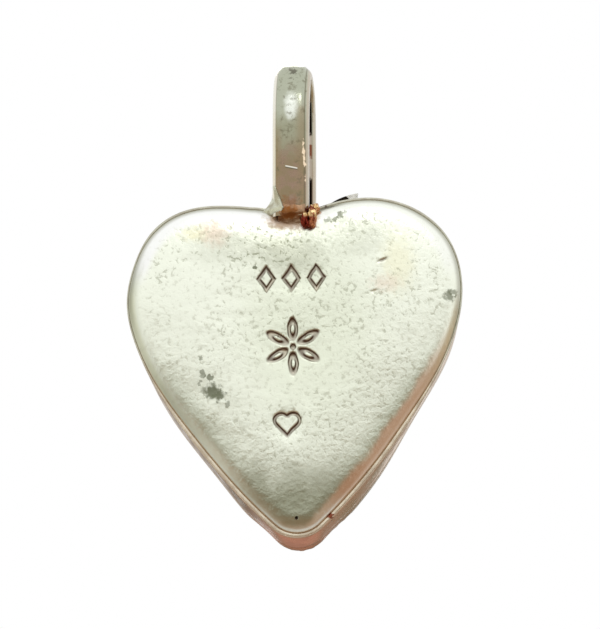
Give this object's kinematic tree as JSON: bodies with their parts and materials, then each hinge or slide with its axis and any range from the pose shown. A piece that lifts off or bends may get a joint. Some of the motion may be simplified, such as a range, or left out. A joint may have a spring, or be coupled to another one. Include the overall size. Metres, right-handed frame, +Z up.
{
  "type": "heart pendant",
  "caption": "Hollow silver heart pendant with domed back, side wall, rope-edged floral front and a fixed strap bail soldered in the cleft.",
  "frame": {"origin": "top of the opening of the bail, where a chain bears, on the middle of the strap", "axes": "+Z up as the pendant hangs, -Y out of the ornamented front, +Y out of the plain back"},
  "size_m": [0.019, 0.0048, 0.0278],
  "materials": {
    "pale_silver": "satin silver, hammered, slightly greenish white",
    "wall_silver": "polished silver, warm tarnish",
    "strap_silver": "polished silver, yellow-grey tarnish",
    "dark_silver": "oxidised silver ground",
    "bright_silver": "bright silver with dark recesses",
    "red_solder": "rough coppery solder",
    "pale_solder": "smooth silver solder"
  },
  "bodies": {
    "root": {"back_plate": "pale_silver", "side_wall": "wall_silver", "front_plate": "dark_silver", "border_wire": "bright_silver", "bail": "strap_silver", "bail_solder_web": "pale_solder", "bail_solder_lump": "red_solder", "bail_solder_back": "red_solder", "bail_solder_front": "pale_solder", "tulip_middle_petal": "bright_silver", "tulip_right_petal": "bright_silver", "tulip_left_petal": "bright_silver", "tulip_stem": "bright_silver", "lower_right_leaf": "bright_silver", "lower_left_leaf": "bright_silver", "upper_right_leaf": "bright_silver", "upper_left_leaf": "bright_silver", "right_scroll": "bright_silver", "left_scroll": "bright_silver", "right_boss": "bright_silver", "left_boss": "bright_silver", "crown_granule_middle": "bright_silver", "crown_granule_right": "bright_silver", "crown_granule_left": "bright_silver", "drop_granule_middle": "bright_silver", "drop_granule_right": "bright_silver", "drop_granule_left": "bright_silver"}
  },
  "joints": []
}
